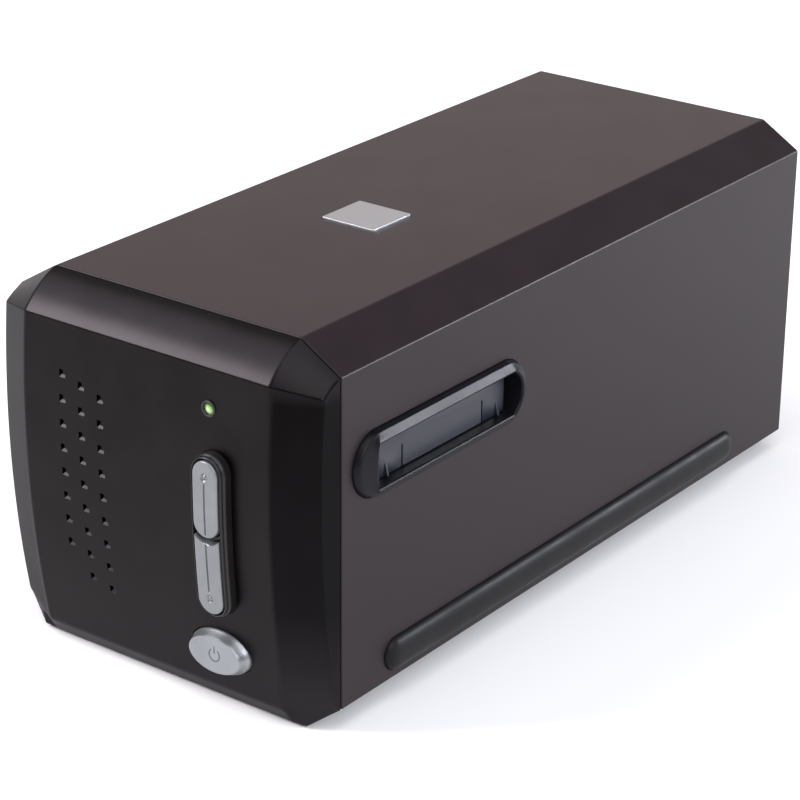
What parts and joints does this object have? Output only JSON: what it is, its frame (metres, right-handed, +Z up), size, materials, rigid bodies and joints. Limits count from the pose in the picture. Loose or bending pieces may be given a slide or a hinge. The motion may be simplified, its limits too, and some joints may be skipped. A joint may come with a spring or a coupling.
{
  "type": "film negative scanner",
  "caption": "Desktop film scanner with a faceted front, a film slot right through its sides, sprung dust doors and keys, and a screw-driven scan carriage.",
  "frame": {"origin": "on the table under the middle of the overall box", "axes": "+X to the object's right, the side with the slot seen in the picture; +Y from the front face to the rear; +Z up"},
  "size_m": [0.1266, 0.272, 0.1196],
  "materials": {
    "cover_plastic": "satin",
    "bezel_plastic": "satin",
    "tray_plastic": "textured",
    "badge_metal": "satin silver",
    "ring_plastic": "satin",
    "door_plastic": "satin",
    "pin_steel": "drawn",
    "strip_rubber": "matt",
    "collar_plastic": "satin",
    "key_paint": "satin silver",
    "power_paint": "satin silver",
    "lens_plastic": "clear",
    "board_laminate": "solder mask",
    "switch_plastic": "moulded",
    "foot_rubber": "matt",
    "screw_steel": "zinc",
    "socket_steel": "tinned",
    "jack_plastic": "moulded",
    "frame_steel": "zinc plated sheet",
    "channel_plastic": "moulded",
    "spring_steel": "spring",
    "rod_steel": "ground",
    "bearing_brass": "sintered",
    "motor_metal": "zinc",
    "bench_plastic": "glass filled",
    "front_mirror": "polished",
    "barrel_aluminium": "black anodised",
    "optic_glass": "coated",
    "sensor_plastic": "ceramic",
    "lamp_plastic": "moulded",
    "diffuser_plastic": "opal"
  },
  "bodies": {
    "case": {"housing_cover": "cover_plastic", "front_bezel": "bezel_plastic", "base_tray": "tray_plastic", "rear_panel": "tray_plastic", "badge_plate": "badge_metal", "slot_bezel_right": "ring_plastic", "slot_bezel_left": "ring_plastic", "door_pin_right": "pin_steel", "door_pin_left": "pin_steel", "side_strip_right": "strip_rubber", "side_strip_left": "strip_rubber", "key_collar": "collar_plastic", "status_lens": "lens_plastic", "button_board": "board_laminate", "tact_switches": "switch_plastic", "rubber_feet": "foot_rubber", "case_screws": "screw_steel", "main_board": "board_laminate", "board_screws": "screw_steel", "usb_socket": "socket_steel", "power_jack": "jack_plastic", "chassis_frame": "frame_steel", "film_channel": "channel_plastic", "detent_spring": "spring_steel", "guide_rods": "rod_steel", "screw_bearing": "bearing_brass", "stepper_motor": "motor_metal", "home_sensor": "switch_plastic"},
    "right_door": {"dust_door_right": "door_plastic"},
    "left_door": {"dust_door_left": "door_plastic"},
    "upper_key": {"upper_scan_key": "key_paint"},
    "lower_key": {"lower_scan_key": "key_paint"},
    "power_key": {"power_button": "power_paint"},
    "screw": {"lead_screw": "rod_steel"},
    "carriage": {"scan_carriage": "bench_plastic", "rod_bushings": "bearing_brass", "drive_nut": "bearing_brass", "fold_mirror": "front_mirror", "lens_barrel": "barrel_aluminium", "lens_glass": "optic_glass", "lens_clamp": "spring_steel", "sensor_board": "board_laminate", "line_sensor": "sensor_plastic", "lamp_housing": "lamp_plastic", "light_diffuser": "diffuser_plastic", "lamp_board": "board_laminate"}
  },
  "joints": [
    {"name": "right_door_hinge", "type": "hinge", "parent": "case", "child": "right_door", "pos_m": [0.0585, -0.069, 0.0851], "axis": [0, 1, 0], "range_deg": [-80, 80], "stiffness_Nm_per_rad": 0.0004},
    {"name": "left_door_hinge", "type": "hinge", "parent": "case", "child": "left_door", "pos_m": [-0.0585, -0.069, 0.0851], "axis": [0, 1, 0], "range_deg": [-80, 80], "stiffness_Nm_per_rad": 0.0004},
    {"name": "upper_key_press", "type": "slide", "parent": "case", "child": "upper_key", "axis": [0, 1, 0], "range_m": [0, 0.0008], "stiffness_N_per_m": 600, "springref_m": -0.0005},
    {"name": "lower_key_press", "type": "slide", "parent": "case", "child": "lower_key", "axis": [0, 1, 0], "range_m": [0, 0.0008], "stiffness_N_per_m": 600, "springref_m": -0.0005},
    {"name": "power_press", "type": "slide", "parent": "case", "child": "power_key", "axis": [0, 1, 0], "range_m": [0, 0.0008], "stiffness_N_per_m": 600, "springref_m": -0.0005},
    {"name": "carriage_slide", "type": "slide", "parent": "case", "child": "carriage", "axis": [0, 1, 0], "range_m": [0, 0.026]},
    {"name": "lead_screw_turn", "type": "hinge", "parent": "case", "child": "screw", "pos_m": [0, 0, 0.018], "axis": [0, 1, 0], "range_deg": [-3125, 5]}
  ],
  "couplings": [
    {"joint": "lead_screw_turn", "follows": "carriage_slide", "rad_per_m": -2094.4}
  ]
}
